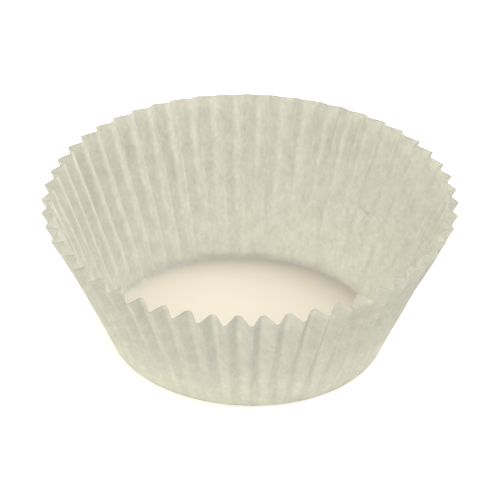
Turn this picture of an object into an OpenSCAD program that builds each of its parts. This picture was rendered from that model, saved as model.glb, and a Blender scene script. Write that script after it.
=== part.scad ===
// Pleated paper cupcake liner, pressed from one round sheet. The floor is flat, and the wall flares
// out from a small round corner. Its spare paper is folded into pleats that start from nothing at
// the corner and deepen towards the rim. The rim has relaxed into a slight oval, longest along Y.

/* [Cup] */
// Diameter of the base, measured at the corner where the wall and the floor would meet
base_d = 51.2; // [44:0.2:60]
// Length of the wall up its slope, from that corner to the rim
wall_len = 31.4; // [22:0.2:38]
// Mean lean of the wall out from upright, in degrees
flare = 24.7; // [18:0.1:32]
// Radius of the round corner between floor and wall, at the middle of the paper
corner_r = 1; // [0.5:0.1:2]
// How far the rim stands out along Y, and in along X, from a true circle
rim_oval = 1.45; // [0:0.05:2]

/* [Pleats] */
// Number of pleats round the wall
pleats = 52; // [40:4:60]
// Radius of the outer folds, at the middle of the paper
outer_fold_r = 0.5; // [0.2:0.05:0.7]
// Radius of the rounder inner folds, at the middle of the paper
inner_fold_r = 0.8; // [0.3:0.05:1]
// Length of low wall over which fine crimps give way to the pleats, so that the folds run straight
crimp_len = 12; // [6:0.5:20]

/* [Paper] */
// Thickness of the paper
paper_t = 0.06; // [0.04:0.01:0.12]

/* [Hidden] */

half_t = paper_t / 2;
// Slope of the wall from level, and the corner's arc that turns the paper up to it
wall_slope = 90 - flare;
corner_setback = corner_r * tan(wall_slope / 2);
floor_r = base_d / 2 - corner_setback;
corner_len = corner_r * wall_slope * PI / 180;
// Length of paper from the floor's edge, round the corner, to the rim
paper_len = corner_len + wall_len - corner_setback;

// Stations along the paper, closest together at the corner, where its form changes most
wall_rows = 4;
stations = [
    0,
    corner_len / 2,
    for (i = [0:wall_rows]) corner_len + (paper_len - corner_len) * pow(i / wall_rows, 1.7)
];
rows = len(stations);

function to_rad(a) = a * PI / 180;
function to_deg(a) = a * 180 / PI;

// Middle of the paper at station q, before it is pleated: radius and height, for a wall of slope a
function slope_at(q, a) = min(a, to_deg(q / corner_r));
function paper_r(q, a) = let (b = slope_at(q, a))
    floor_r + corner_r * sin(b) + (q - corner_r * to_rad(b)) * cos(b);
function paper_z(q, a) = let (b = slope_at(q, a))
    half_t + corner_r * (1 - cos(b)) + (q - corner_r * to_rad(b)) * sin(b);

// Half a pleat has this much paper, and only this much room round the wall. Of the paper to spare,
// low on the wall only a part is folded into the pleat, and the rest is in fine crimps.
function half_paper(q) = PI * (floor_r + q) / pleats;
function half_room(q) = PI * paper_r(q, wall_slope) / pleats;
function folded_paper(q) =
    half_room(q) + (half_paper(q) - half_room(q)) * (1 - exp(-q / crimp_len));

// Slope of a pleat's flanks to the wall at which its paper just fills its room, found by halving
function spare_room(b, paper, room) =
    (outer_fold_r + inner_fold_r) * (sin(b) - to_rad(b) * cos(b)) + paper * cos(b) - room;
function flank_slope(paper, room, low = 0, high = 80, steps = 30) =
    let (mid = (low + high) / 2)
    steps == 0 ? mid
    : spare_room(mid, paper, room) > 0 ? flank_slope(paper, room, mid, high, steps - 1)
    : flank_slope(paper, room, low, mid, steps - 1);

// Columns of one pleat, as shares of half its paper on each side of the outer fold (0). The first is
// at the inner fold, and the others are where the rounds of the folds meet the flat flanks at the rim.
rim_paper = folded_paper(paper_len);
rim_bend = to_rad(flank_slope(rim_paper, half_room(paper_len)));
outer_share = outer_fold_r * rim_bend / rim_paper;
inner_share = inner_fold_r * rim_bend / rim_paper;
pleat_columns = [-1, inner_share - 1, -outer_share, 0, outer_share, 1 - inner_share];
columns_per_pleat = len(pleat_columns);
columns = pleats * columns_per_pleat;

// Section of half a pleat: at s along its paper from the outer fold, the distance round the wall,
// the depth inwards and the direction of the paper. b is the slope of the flank between the folds.
function pleat_section(s, paper, b) =
    let (
        outer_arc = outer_fold_r * to_rad(b),
        inner_arc = inner_fold_r * to_rad(b),
        flank = paper - outer_arc - inner_arc,
        flank_x = outer_fold_r * sin(b),
        flank_y = outer_fold_r * (1 - cos(b)),
        turned = to_deg((paper - s) / inner_fold_r)
    )
    s < outer_arc ? let (c = to_deg(s / outer_fold_r)) [outer_fold_r * sin(c), outer_fold_r * (1 - cos(c)), c]
    : s < outer_arc + flank ? [flank_x + (s - outer_arc) * cos(b), flank_y + (s - outer_arc) * sin(b), b]
    : [
        flank_x + flank * cos(b) + inner_fold_r * (sin(b) - sin(turned)),
        flank_y + flank * sin(b) + inner_fold_r * (cos(turned) - cos(b)),
        turned
    ];

// The rim bends into its oval without stretching: the wall leans out more along Y and less along X,
// and the pleats slide round a little towards the ends of the oval
function oval_slope(t) = wall_slope + to_deg(rim_oval * cos(2 * t) / (wall_len * sin(wall_slope)));
function oval_slide(t, q) = rim_oval / 2 * sin(2 * t) * q / paper_len;

// One point of the pleated paper, on its outer face (side 1) or its inner face (side -1)
function paper_point(side, q, angle, share) =
    let (
        paper = folded_paper(q),
        room_r = paper_r(q, wall_slope),
        b = flank_slope(paper, half_room(q)),
        depth = pleat_section(paper, paper, b)[1],
        section = pleat_section(abs(share) * paper, paper, b),
        round = sign(share) * (section[0] + side * half_t * sin(section[2])),
        out = depth / 2 - section[1] + side * half_t * cos(section[2]),
        t = angle + to_deg(round / room_r),
        a = oval_slope(t),
        lean = slope_at(q, a),
        r = paper_r(q, a) + out * sin(lean),
        turn = t + to_deg(oval_slide(t, q) / r)
    )
    [r * cos(turn), r * sin(turn), paper_z(q, a) - out * cos(lean)];

// A face of the paper: rows of points from the floor's edge to the rim
function paper_face(side) = [
    for (q = stations, i = [0:pleats - 1], share = pleat_columns)
        paper_point(side, q, i * 360 / pleats, share)
];

function point_index(face, row, column) = (face * rows + row) * columns + column % columns;

module liner() {
    outer = 0;
    inner = 1;
    rim = rows - 1;
    around = [0:columns - 1];
    color("antiquewhite")
    polyhedron(
        points = concat(paper_face(1), paper_face(-1)),
        faces = [
            // The flat floor, underneath and on top
            [for (i = around) point_index(outer, 0, i)],
            [for (i = around) point_index(inner, 0, columns - 1 - i)],
            // The corner and the pleated wall, outside and inside
            for (j = [0:rim - 1], i = around) each [
                [point_index(outer, j, i), point_index(outer, j + 1, i), point_index(outer, j + 1, i + 1)],
                [point_index(outer, j, i), point_index(outer, j + 1, i + 1), point_index(outer, j, i + 1)],
                [point_index(inner, j, i), point_index(inner, j + 1, i + 1), point_index(inner, j + 1, i)],
                [point_index(inner, j, i), point_index(inner, j, i + 1), point_index(inner, j + 1, i + 1)]
            ],
            // The cut edge of the paper along the rim
            for (i = around) each [
                [point_index(outer, rim, i), point_index(inner, rim, i), point_index(inner, rim, i + 1)],
                [point_index(outer, rim, i), point_index(inner, rim, i + 1), point_index(outer, rim, i + 1)]
            ]
        ]
    );
}

liner();
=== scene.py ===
"""An empty pleated cupcake liner of greaseproof paper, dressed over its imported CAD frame."""
import math

import bpy
import numpy as np
from mathutils import Matrix, Vector


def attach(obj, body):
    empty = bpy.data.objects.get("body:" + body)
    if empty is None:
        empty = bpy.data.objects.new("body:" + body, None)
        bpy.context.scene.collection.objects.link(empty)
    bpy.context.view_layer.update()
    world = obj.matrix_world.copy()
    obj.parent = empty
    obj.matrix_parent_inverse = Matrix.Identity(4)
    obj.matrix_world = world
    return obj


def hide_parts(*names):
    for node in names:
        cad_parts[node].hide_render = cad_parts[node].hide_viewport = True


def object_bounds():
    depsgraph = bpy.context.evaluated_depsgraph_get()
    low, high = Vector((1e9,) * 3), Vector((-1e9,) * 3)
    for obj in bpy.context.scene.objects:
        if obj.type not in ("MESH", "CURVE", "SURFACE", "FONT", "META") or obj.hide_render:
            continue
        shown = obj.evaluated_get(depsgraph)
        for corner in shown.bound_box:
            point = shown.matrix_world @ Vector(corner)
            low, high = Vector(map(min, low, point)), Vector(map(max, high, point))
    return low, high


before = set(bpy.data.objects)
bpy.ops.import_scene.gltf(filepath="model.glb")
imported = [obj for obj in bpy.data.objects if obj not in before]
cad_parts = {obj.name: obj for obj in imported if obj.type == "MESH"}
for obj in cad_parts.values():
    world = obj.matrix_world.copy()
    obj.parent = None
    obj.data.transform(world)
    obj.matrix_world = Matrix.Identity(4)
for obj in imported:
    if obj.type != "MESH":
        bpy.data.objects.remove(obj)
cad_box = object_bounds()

MM = 0.001
SEED = 7

# The cup's own sizes in metres, as pressed
BASE_D = 51.2 * MM
WALL_LEN = 31.4 * MM
FLARE = math.radians(24.7)
CORNER_R = 1.0 * MM
RIM_OVAL = 1.45 * MM
PLEATS = 52
OUTER_FOLD_R = 0.5 * MM
# The inner folds have opened up, rounder than the CAD solid's 0.8 mm
INNER_FOLD_R = 1.0 * MM
PAPER_T = 0.06 * MM
# Length of low wall over which fine crimps, which hold some of the spare paper, give way to pleats
CRIMP_LEN = 12 * MM

# Sizes that follow from them
HALF_T = PAPER_T / 2
WALL_SLOPE = math.pi / 2 - FLARE
CORNER_SETBACK = CORNER_R * math.tan(WALL_SLOPE / 2)
FLOOR_R = BASE_D / 2 - CORNER_SETBACK
CORNER_LEN = CORNER_R * WALL_SLOPE
PAPER_LEN = CORNER_LEN + WALL_LEN - CORNER_SETBACK

# Fineness of the paper's mesh: columns of half a pleat as shares of its paper, rows up the corner
# and up the wall, which crowd towards the corner, and rings of the floor as shares of the way in
HALF_COLUMNS = (0.0, 0.035, 0.07, 0.105, 0.15, 0.35, 0.57, 0.76, 0.82, 0.88, 0.94)
CORNER_ROWS = 4
WALL_ROWS = 33
ROW_CROWDING = 1.3
FLOOR_RINGS = (0.04, 0.08, 0.14, 0.22, 0.4, 0.6, 0.8)
SHARP_ANGLE = math.radians(60)

# Where the flanks' slope is looked for, and in how many halvings
STEEPEST_FLANK = math.radians(80)
HALVINGS = 40

# Where the rim leans out a little further still: direction round the cup, how far, how narrowly
SIDE_LEANS = ((math.radians(22), 0.6 * MM, 9), (math.radians(212), 0.22 * MM, 12))
# How far the rim has moved sideways from over the base, and the middle of the wall bows in
RIM_SHIFT = (-0.38 * MM, 0.43 * MM)
BOW = 0.35 * MM
# Where the middle of the wall is smoother: direction and the share of its pleats that is lost
SMOOTH_PLACES = ((math.radians(68), 0.45), (math.radians(225), 0.35))
SMOOTH_FOCUS = 10

# How far the folds have drifted from true at the rim: round the wall, across it, in waves up it
FOLD_SLIDE = 0.10 * MM
FOLD_LIFT = 0.07 * MM
FOLD_WAVE = 0.05 * MM
WAVE_LEN = 13 * MM

# Tones are painted light and shade: how much lighter or darker the paper is drawn, as a share of
# its own colour. Each outer fold has a painted shade line outside, this wide to each side and full
# at this height
OUTER_FOLD_SHADE = -0.06
FOLD_LINE = 0.24 * MM
FOLD_START = 9 * MM
# Inside it has a painted highlight line with a thin painted shade line next to it, on the side of
# the cup at the turn given next
HIGHLIGHT_TURN = math.radians(139)
HIGHLIGHT_FOCUS = 8
HIGHLIGHT_TONE = 0.06
HIGHLIGHT_SHIFT = 0.30 * MM
HIGHLIGHT_LINE = 0.42 * MM
GROOVE_SHADE = -0.08
GROOVE_SHIFT = -0.2 * MM
GROOVE_LINE = 0.12 * MM
# Elsewhere inside it has a painted shade line in its valley, which deepens with this power of the
# height
VALLEY_SHADE = -0.13
VALLEY_LINE = 0.5 * MM
VALLEY_POWER = 3
# Painted shade makes the outside darker, and painted light makes it lighter low on the wall.
# Painted shade makes the inside darker low on the wall, and painted light makes it lighter towards
# the rim with this power of the height.
OUTER_SHADE = -0.16
OUTER_LOW_LIGHT = 0.24
INNER_LOW_SHADE = -0.06
INNER_TOP_LIGHT = 0.08
INNER_TOP_POWER = 2
LOW_REACH = 10 * MM
# Painted shade makes the corner darker, inside mostly on the side at the turn given next, up the
# wall and in across the floor
OUTER_CORNER_SHADE = -0.08
INNER_CORNER_SHADE = -0.20
CORNER_SHADE_TURN = math.radians(108)
CORNER_FOCUS = 5
CORNER_REACH = 0.9 * MM
FLOOR_SHADE_REACH = 2.2 * MM


def slope_at(q, slope):
    """The slope of the paper's middle at station q, for a wall of the given slope."""
    return np.minimum(slope, q / CORNER_R)


def middle_radius(q, slope):
    b = slope_at(q, slope)
    return FLOOR_R + CORNER_R * np.sin(b) + (q - CORNER_R * b) * np.cos(b)


def middle_height(q, slope):
    b = slope_at(q, slope)
    return HALF_T + CORNER_R * (1 - np.cos(b)) + (q - CORNER_R * b) * np.sin(b)


def flank_slope(paper, room):
    """The slope of a pleat's flanks at which its paper just fills its room, found by halving."""
    low, high = np.zeros_like(paper), np.full_like(paper, STEEPEST_FLANK)
    for _ in range(HALVINGS):
        mid = (low + high) / 2
        rounds = (OUTER_FOLD_R + INNER_FOLD_R) * (np.sin(mid) - mid * np.cos(mid))
        spare = rounds + paper * np.cos(mid) - room
        low, high = np.where(spare > 0, mid, low), np.where(spare > 0, high, mid)
    return (low + high) / 2


def pleat_section(s, paper, b):
    """Distance round the wall and depth inwards at s along half a pleat, from its outer fold."""
    outer_arc, inner_arc = OUTER_FOLD_R * b, INNER_FOLD_R * b
    flank = paper - outer_arc - inner_arc
    flank_x, flank_y = OUTER_FOLD_R * np.sin(b), OUTER_FOLD_R * (1 - np.cos(b))
    turned = (paper - s) / INNER_FOLD_R
    c = s / OUTER_FOLD_R
    on_outer = s < outer_arc
    on_flank = s < outer_arc + flank
    x = np.where(on_outer, OUTER_FOLD_R * np.sin(c), np.where(
        on_flank, flank_x + (s - outer_arc) * np.cos(b),
        flank_x + flank * np.cos(b) + INNER_FOLD_R * (np.sin(b) - np.sin(turned))))
    y = np.where(on_outer, OUTER_FOLD_R * (1 - np.cos(c)), np.where(
        on_flank, flank_y + (s - outer_arc) * np.sin(b),
        flank_y + flank * np.sin(b) + INNER_FOLD_R * (np.cos(turned) - np.cos(b))))
    return x, y


def fold_drift(rng, q, fold, share, size):
    """A drift that each fold has its own amount of, eased across the flanks between the folds."""
    def along_folds():
        amount = rng.normal(0, size, PLEATS)
        wave = rng.normal(0, FOLD_WAVE, PLEATS)
        phase = rng.uniform(0, 2 * math.pi, PLEATS)
        return amount + wave * np.sin(2 * math.pi * q / WAVE_LEN + phase)

    outer, inner = along_folds(), along_folds()
    beside = np.where(share > 0, fold, fold - 1) % PLEATS
    ease = (1 - np.cos(math.pi * share)) / 2
    return (outer[:, fold] * (1 - ease) + inner[:, beside] * ease) * q / PAPER_LEN


def facing(t, turn):
    """1 in the direction turn round the cup, falling to 0 opposite it."""
    return (1 + np.cos(t - turn)) / 2


def hump(x, middle, width):
    """1 at the middle, falling away smoothly over the width to both sides."""
    return np.exp(-((x - middle) / width) ** 2)


def painted_skin_shading(across, q, t):
    """The painted light and shade of the outer and the inner skin, at metres across from a fold and
    q up the wall.
    """
    height = q / PAPER_LEN
    rise = np.clip(q / FOLD_START, 0, 1)
    low = hump(q, 0, LOW_REACH)
    corner = hump(q, CORNER_LEN / 2, CORNER_REACH)

    # Outside: a painted shade line along each outer fold
    outside = OUTER_FOLD_SHADE * hump(across, 0, FOLD_LINE) * rise
    # Painted shade over the outside, painted light low on it and painted shade at the corner
    outside = outside + OUTER_SHADE + OUTER_LOW_LIGHT * low + OUTER_CORNER_SHADE * corner

    # Inside: a painted highlight and a thin painted shade line beside each outer fold, on one side
    painted_highlight = HIGHLIGHT_TONE * hump(across, HIGHLIGHT_SHIFT, HIGHLIGHT_LINE)
    groove_shade = GROOVE_SHADE * hump(across, GROOVE_SHIFT, GROOVE_LINE)
    # Elsewhere a painted shade line in each valley, deeper towards the rim
    valley_shade = VALLEY_SHADE * hump(across, 0, VALLEY_LINE) * height ** VALLEY_POWER
    highlight_side = facing(t, HIGHLIGHT_TURN) ** HIGHLIGHT_FOCUS
    inside = (painted_highlight + groove_shade) * rise * highlight_side + valley_shade * (1 - highlight_side)
    # Painted light towards the rim inside, and painted shade low on the wall
    inside = inside + INNER_TOP_LIGHT * height ** INNER_TOP_POWER + INNER_LOW_SHADE * low
    # Painted shade at the corner inside, mostly on one side of the cup
    inside = inside + INNER_CORNER_SHADE * corner * facing(t, CORNER_SHADE_TURN) ** CORNER_FOCUS
    return outside, inside


def paper_middle():
    """The middle of the corner and the wall, its place on the flat sheet, and its skins' painted
    light and shade.
    """
    corner = np.linspace(0, CORNER_LEN, CORNER_ROWS, endpoint=False)
    wall_steps = np.linspace(0, 1, WALL_ROWS) ** ROW_CROWDING
    wall = CORNER_LEN + (PAPER_LEN - CORNER_LEN) * wall_steps
    q = np.concatenate([corner, wall])[:, None]
    half = list(HALF_COLUMNS)
    share = np.array([-h for h in half[:0:-1]] + half + [1.0])
    fold = np.repeat(np.arange(PLEATS), len(share))
    share = np.tile(share, PLEATS)
    angle = 2 * math.pi * fold / PLEATS
    flat_turn = angle + share * math.pi / PLEATS

    # Half a pleat has the flat sheet's paper less the crimps, and only the wall's room
    height = q / PAPER_LEN
    mid_wall = 4 * height * (1 - height)
    folded = 1 - np.exp(-q / CRIMP_LEN)
    for smooth_turn, lost in SMOOTH_PLACES:
        smooth = facing(flat_turn, smooth_turn) ** SMOOTH_FOCUS * mid_wall
        folded = folded * (1 - lost * smooth)
    room_r = middle_radius(q, WALL_SLOPE)
    room = math.pi * room_r / PLEATS
    paper = room + (math.pi * (FLOOR_R + q) / PLEATS - room) * folded
    b = flank_slope(paper, room)
    depth = pleat_section(paper, paper, b)[1]
    x, y = pleat_section(np.abs(share) * paper, paper, b)

    rng = np.random.default_rng(SEED)
    out = depth / 2 - y + fold_drift(rng, q, fold, share, FOLD_LIFT) - BOW * mid_wall
    t = angle + (np.sign(share) * x + fold_drift(rng, q, fold, share, FOLD_SLIDE)) / room_r

    # The wall leans as the rim's oval asks, and further out at its side leans
    leans = sum(far * facing(t, turn) ** narrow for turn, far, narrow in SIDE_LEANS)
    rim_in = RIM_OVAL * np.cos(2 * t) - leans
    slope = WALL_SLOPE + rim_in / (WALL_LEN * math.sin(WALL_SLOPE))
    lean = slope_at(q, slope)
    r = middle_radius(q, slope) + out * np.sin(lean)
    turn = t + RIM_OVAL / 2 * np.sin(2 * t) * height / r
    middle = np.stack([
        r * np.cos(turn) + RIM_SHIFT[0] * height,
        r * np.sin(turn) + RIM_SHIFT[1] * height,
        middle_height(q, slope) - out * np.cos(lean),
    ], -1)
    flat = (FLOOR_R + q)[..., None] * np.stack([np.cos(flat_turn), np.sin(flat_turn)], -1)
    return middle, flat, painted_skin_shading(share * paper, q, t)


def paper_faces(middle):
    """Two skins, half the paper's thickness either side of its middle."""
    up = np.gradient(middle, axis=0)
    across = np.roll(middle, -1, axis=1) - np.roll(middle, 1, axis=1)
    normal = np.cross(across, up)
    normal /= np.linalg.norm(normal, axis=-1, keepdims=True)
    # At the floor's edge the paper lies flat
    normal[0] = (0, 0, -1)
    return middle + normal * HALF_T, middle - normal * HALF_T


def make_liner():
    middle, flat, skin_shading = paper_middle()
    rows, columns = middle.shape[:2]
    points, sheet, shading_values, faces = [], [], [], []

    def add(ring, ring_flat, ring_shading):
        start = len(points)
        points.extend(ring.reshape(-1, 3))
        sheet.extend(ring_flat.reshape(-1, 2))
        shading_values.extend(ring_shading.ravel())
        return start

    def band(a, b, flip):
        for i in range(columns):
            k = (i + 1) % columns
            quad = (a + i, a + k, b + k, b + i)
            faces.append(quad[::-1] if flip else quad)

    rims = []
    for skin, painted_shading, flip in zip(paper_faces(middle), skin_shading, (False, True)):
        start = add(skin, flat, painted_shading)
        for j in range(rows - 1):
            band(start + j * columns, start + (j + 1) * columns, flip)
        rims.append(start + (rows - 1) * columns)
        # The floor: rings that shrink to its centre
        edge = skin[0]
        centre = np.array([0, 0, edge[:, 2].mean()])
        last = start
        for share in FLOOR_RINGS:
            # The corner's painted shade fades out in across the floor
            ring_shading = painted_shading[0] * math.exp(-share * FLOOR_R / FLOOR_SHADE_REACH)
            ring = add(centre + (edge - centre) * (1 - share), flat[0] * (1 - share), ring_shading)
            band(last, ring, not flip)
            last = ring
        tip = add(centre, np.zeros(2), np.zeros(1))
        for i in range(columns):
            k = (i + 1) % columns
            tri = (last + i, last + k, tip)
            faces.append(tri if flip else tri[::-1])
    # The cut edge of the paper joins the two skins
    band(rims[0], rims[1], False)

    mesh = bpy.data.meshes.new("liner_paper")
    mesh.from_pydata(np.array(points).tolist(), [], faces)
    mesh.shade_smooth()
    mesh.set_sharp_from_angle(angle=SHARP_ANGLE)
    # Each point's place on the flat sheet that the liner was pressed from, in metres
    corner_points = np.empty(len(mesh.loops), dtype=np.int32)
    mesh.loops.foreach_get("vertex_index", corner_points)
    places = mesh.uv_layers.new(name="sheet")
    places.data.foreach_set("uv", np.array(sheet)[corner_points].ravel())
    # Each point's painted light and shade, as a share of the paper's colour
    mesh.attributes.new("painted_shading", "FLOAT", "POINT").data.foreach_set("value", shading_values)
    piece = bpy.data.objects.new("liner_paper", mesh)
    bpy.context.scene.collection.objects.link(piece)
    return piece


# The paper: what it scatters back and what it lets through, on the wall and on the creamier floor
WALL_COLOR = (0.690, 0.684, 0.612)
WALL_THROUGH = (0.640, 0.632, 0.556)
FLOOR_TINT = (1.03, 0.99, 0.985)
THROUGH_SHARE = 0.66
ROUGHNESS = 0.6
# The cut edge's tone as a factor, and how far down it reaches
EDGE_TONE = 0.84
EDGE_WIDTH = 0.3 * MM
# Cloudiness of the wall: size of the blotches, fineness within them and how far their tone swings
FINE_CLOUDS = (0.85 * MM, 3, 0.045)
BROAD_CLOUDS = (2.6 * MM, 2, 0.04)
# The noise's usual lowest and highest values
NOISE_ENDS = (0.3, 0.7)
# Tiny unevenness of the surface: its size, fineness and height
COCKLE_SIZE = 1.6 * MM
COCKLE_DETAIL = 2
COCKLE = 0.006 * MM

# Small creases in the paper, drawn as painted shade lines and one painted highlight line: where
# each starts and ends, as millimetres out from the floor's edge and degrees round the sheet, its
# half width in millimetres and its tone as a factor
CREASE_SHADES = (
    ((15.3, 59.6), (14.75, 55.9), 0.44, 0.88),
    ((14.75, 55.9), (12.6, 56.9), 0.44, 0.89),
    ((14.9, 60.6), (12.9, 57.2), 0.60, 1.05),
    ((8.9, 25.8), (8.2, 25.0), 0.30, 0.88),
    ((8.2, 25.0), (8.5, 21.2), 0.26, 0.90),
    ((8.2, 25.2), (7.4, 25.8), 0.26, 0.90),
    ((29.0, 207.6), (28.5, 208.6), 0.55, 0.84),
)


def new_material(name):
    """A material with no nodes yet, and short ways to add a node, join two and map a range."""
    mat = bpy.data.materials.new(name)
    mat.use_nodes = True
    tree = mat.node_tree
    tree.nodes.clear()

    def node(kind, **settings):
        made = tree.nodes.new(kind)
        for key, value in settings.items():
            setattr(made, key, value)
        return made

    def join(source, target, socket, out=0):
        tree.links.new(source.outputs[out], target.inputs[socket])

    def ranged(source, low, high, to_low=0, to_high=1, out=0, easing="LINEAR"):
        made = node("ShaderNodeMapRange", interpolation_type=easing)
        ends = {"From Min": low, "From Max": high, "To Min": to_low, "To Max": to_high}
        for socket, value in ends.items():
            made.inputs[socket].default_value = value
        join(source, made, "Value", out=out)
        return made

    return mat, node, join, ranged


def greaseproof_paper():
    """Thin cloudy paper, which scatters some light back and lets the rest through, with painted
    light and shade.
    """
    mat, node, join, ranged = new_material("greaseproof_paper")
    place = node("ShaderNodeUVMap", uv_map="sheet")

    def noise(size, detail):
        """Noise over the flat sheet whose blotches are about size across."""
        made = node("ShaderNodeTexNoise", noise_dimensions="2D")
        made.inputs["Scale"].default_value = 1 / size
        made.inputs["Detail"].default_value = detail
        join(place, made, "Vector")
        return made

    def clouds(size, detail, swing):
        return ranged(noise(size, detail), *NOISE_ENDS, 1 - swing, 1 + swing)

    def product(a, b):
        made = node("ShaderNodeMath", operation="MULTIPLY")
        join(a, made, 0)
        join(b, made, 1)
        return made

    def sheet_point(out, degrees):
        angle = math.radians(degrees)
        return Vector((math.cos(angle), math.sin(angle), 0)) * (FLOOR_R + out * MM)

    def crease_shade(start, end, width, painted_shading):
        """Painted shade or highlight near a line across the flat sheet, back at 1 at width from it.
        """
        a, b = sheet_point(*start), sheet_point(*end)
        along = b - a
        from_start = node("ShaderNodeVectorMath", operation="SUBTRACT")
        from_start.inputs[1].default_value = a
        join(place, from_start, 0)
        share = node("ShaderNodeVectorMath", operation="DOT_PRODUCT")
        share.inputs[1].default_value = along / along.length_squared
        join(from_start, share, 0)
        held = node("ShaderNodeClamp")
        join(share, held, "Value", out="Value")
        foot = node("ShaderNodeVectorMath", operation="SCALE")
        foot.inputs[0].default_value = along
        join(held, foot, "Scale")
        beside = node("ShaderNodeVectorMath", operation="DISTANCE")
        join(from_start, beside, 0)
        join(foot, beside, 1)
        return ranged(beside, 0, width * MM, painted_shading, 1, out="Value", easing="SMOOTHSTEP")

    # Distance from the sheet's centre tells the floor from the wall, and the cut edge from both
    reach = node("ShaderNodeVectorMath", operation="LENGTH")
    join(place, reach, 0)
    on_wall = ranged(reach, FLOOR_R - CORNER_R, FLOOR_R + CORNER_R, out="Value")
    rim = FLOOR_R + PAPER_LEN
    edge = ranged(reach, rim - EDGE_WIDTH, rim, 1, EDGE_TONE, out="Value")

    # Each skin's painted light and shade, from the mesh
    skin_shading_value = node("ShaderNodeAttribute", attribute_name="painted_shading")
    skin = node("ShaderNodeMath", operation="ADD")
    skin.inputs[1].default_value = 1
    join(skin_shading_value, skin, 0, out="Fac")

    mottle = node("ShaderNodeMix", data_type="FLOAT")
    mottle.inputs["A"].default_value = 1
    join(on_wall, mottle, "Factor")
    join(product(clouds(*FINE_CLOUDS), clouds(*BROAD_CLOUDS)), mottle, "B")
    # The clouds and the cut edge, times the painted light and shade and the creases' painted shade
    cloud_and_shade_factor = product(product(mottle, edge), skin)
    for line in CREASE_SHADES:
        cloud_and_shade_factor = product(cloud_and_shade_factor, crease_shade(*line))

    def tint(color):
        """The paper's colour on the wall and on the floor, made lighter or darker by its clouds,
        cut edge and painted light and shade.
        """
        blend = node("ShaderNodeMix", data_type="VECTOR")
        blend.inputs["A"].default_value = [c * f for c, f in zip(color, FLOOR_TINT)]
        blend.inputs["B"].default_value = color
        join(on_wall, blend, "Factor")
        made = node("ShaderNodeVectorMath", operation="SCALE")
        join(blend, made, 0, out="Result")
        join(cloud_and_shade_factor, made, "Scale")
        return made

    bump = node("ShaderNodeBump")
    bump.inputs["Strength"].default_value = 1.0
    bump.inputs["Distance"].default_value = COCKLE
    join(noise(COCKLE_SIZE, COCKLE_DETAIL), bump, "Height")
    front = node("ShaderNodeBsdfPrincipled")
    front.inputs["Roughness"].default_value = ROUGHNESS
    join(tint(WALL_COLOR), front, "Base Color")
    join(bump, front, "Normal")
    through = node("ShaderNodeBsdfTranslucent")
    join(tint(WALL_THROUGH), through, "Color")
    join(bump, through, "Normal")
    mix = node("ShaderNodeMixShader")
    mix.inputs[0].default_value = THROUGH_SHARE
    join(front, mix, 1)
    join(through, mix, 2)
    join(mix, node("ShaderNodeOutputMaterial"), "Surface")
    return mat


# The studio floor glows a little under the cup, and more far off, out of the lamps' reach. It
# turns up into a low pale wall all round, and is clear from underneath.
FLOOR_PALE = 0.93
FLOOR_ROUGHNESS = 0.8
FLOOR_GLOW = 0.21
FAR_GLOW = 1.0
GLOW_NEAR, GLOW_FAR = 0.4, 1.1
FLOOR_HALF = 12.0
FLOOR_WALL = 1.0
FLOOR_DROP = 0.02 * MM


def floor_material():
    mat, node, join, ranged = new_material("studio_floor")
    place = node("ShaderNodeTexCoord")
    reach = node("ShaderNodeVectorMath", operation="LENGTH")
    join(place, reach, 0, out="Object")
    glow = ranged(reach, GLOW_NEAR, GLOW_FAR, FLOOR_GLOW, FAR_GLOW, out="Value")
    pale = node("ShaderNodeBsdfPrincipled")
    pale.inputs["Base Color"].default_value = (FLOOR_PALE, FLOOR_PALE, FLOOR_PALE, 1)
    pale.inputs["Roughness"].default_value = FLOOR_ROUGHNESS
    pale.inputs["Emission Color"].default_value = (1, 1, 1, 1)
    join(glow, pale, "Emission Strength")
    side = node("ShaderNodeNewGeometry")
    mix = node("ShaderNodeMixShader")
    join(side, mix, 0, out="Backfacing")
    join(pale, mix, 1)
    join(node("ShaderNodeBsdfTransparent"), mix, 2)
    join(mix, node("ShaderNodeOutputMaterial"), "Surface")
    return mat


def make_floor():
    corners = [(x * FLOOR_HALF, y * FLOOR_HALF) for x, y in ((-1, -1), (1, -1), (1, 1), (-1, 1))]
    points = [(x, y, z) for z in (0, FLOOR_WALL) for x, y in corners]
    walls = [(i, i + 4, (i + 1) % 4 + 4, (i + 1) % 4) for i in range(4)]
    mesh = bpy.data.meshes.new("studio_floor")
    mesh.from_pydata(points, [], [(0, 1, 2, 3)] + walls)
    mesh.materials.append(floor_material())
    floor = bpy.data.objects.new("studio_floor", mesh)
    bpy.context.scene.collection.objects.link(floor)
    floor.location.z = cad_box[0][2] - FLOOR_DROP


# The camera: where the photograph was taken from, fitted to the cup's outline and folds. PICTURE
# is its width in pixels, SCALE is pixels to the metre at the cup, and LOOK_AT is in metres to the
# camera's right, away from it and up from the floor.
PICTURE = 500
SCALE = 5350.0
SENSOR = 36
AZIMUTH = math.radians(11.86)
ELEVATION = math.radians(32.35)
ROLL = math.radians(1.71)
DISTANCE = 0.885
LOOK_AT = (0.00012, 0.0005, 0.0177)


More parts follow.
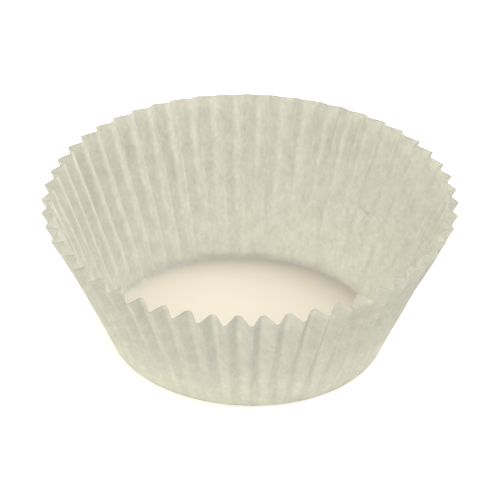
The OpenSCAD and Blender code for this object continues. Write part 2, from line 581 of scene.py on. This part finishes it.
def make_camera():
    turn = Matrix.Rotation(AZIMUTH, 3, "Z")
    ahead = turn @ Vector((0, math.cos(ELEVATION), -math.sin(ELEVATION)))
    right = ahead.cross(Vector((0, 0, 1))).normalized()
    up = right.cross(ahead)
    x = right * math.cos(ROLL) + up * math.sin(ROLL)
    y = up * math.cos(ROLL) - right * math.sin(ROLL)
    place = turn @ Vector(LOOK_AT) - ahead * DISTANCE
    data = bpy.data.cameras.new("camera")
    data.sensor_width = SENSOR
    data.lens = SCALE * DISTANCE * SENSOR / PICTURE
    camera = bpy.data.objects.new("camera", data)
    bpy.context.scene.collection.objects.link(camera)
    rotation = Matrix((x, y, -ahead)).transposed()
    camera.matrix_world = Matrix.Translation(place) @ rotation.to_4x4()
    bpy.context.scene.camera = camera


# Round soft lights that look at the cup: degrees round from the front and up, width in metres
# and power in watts. All are at one distance.
LIGHT_DISTANCE = 0.8
LIGHTS = (
    ("key", 172, 54, 0.2, 4.1),
    ("side", 116, 47, 0.45, 3.9),
    ("right", 90, 50, 0.5, 2.6),
    ("back_right", 150, 50, 0.5, 1.2),
    ("back_left", 210, 50, 0.5, 1.7),
    ("left", 293, 50, 0.6, 1.9),
    ("front", 0, 50, 0.9, 5.2),
    ("top", 0, 88, 0.5, 1.7),
)
WORLD_GLOW = 0.02


def area_light(name, azimuth, elevation, size, power):
    a, e = math.radians(azimuth), math.radians(elevation)
    toward = Vector((math.sin(a) * math.cos(e), -math.cos(a) * math.cos(e), math.sin(e)))
    data = bpy.data.lights.new(name, "AREA")
    data.shape = "DISK"
    data.size = size
    data.energy = power
    light = bpy.data.objects.new(name, data)
    bpy.context.scene.collection.objects.link(light)
    light.location = toward * LIGHT_DISTANCE
    light.rotation_euler = toward.to_track_quat("Z", "Y").to_euler()


def make_lights():
    world = bpy.data.worlds.new("studio")
    bpy.context.scene.world = world
    world.use_nodes = True
    background = world.node_tree.nodes["Background"]
    background.inputs["Color"].default_value = (1, 1, 1, 1)
    background.inputs["Strength"].default_value = WORLD_GLOW
    for light in LIGHTS:
        area_light(*light)


def main():
    liner = make_liner()
    liner.data.materials.append(greaseproof_paper())
    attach(liner, "root")
    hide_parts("liner")
    make_floor()
    make_camera()
    make_lights()
    bpy.context.scene.view_settings.view_transform = "Standard"


main()
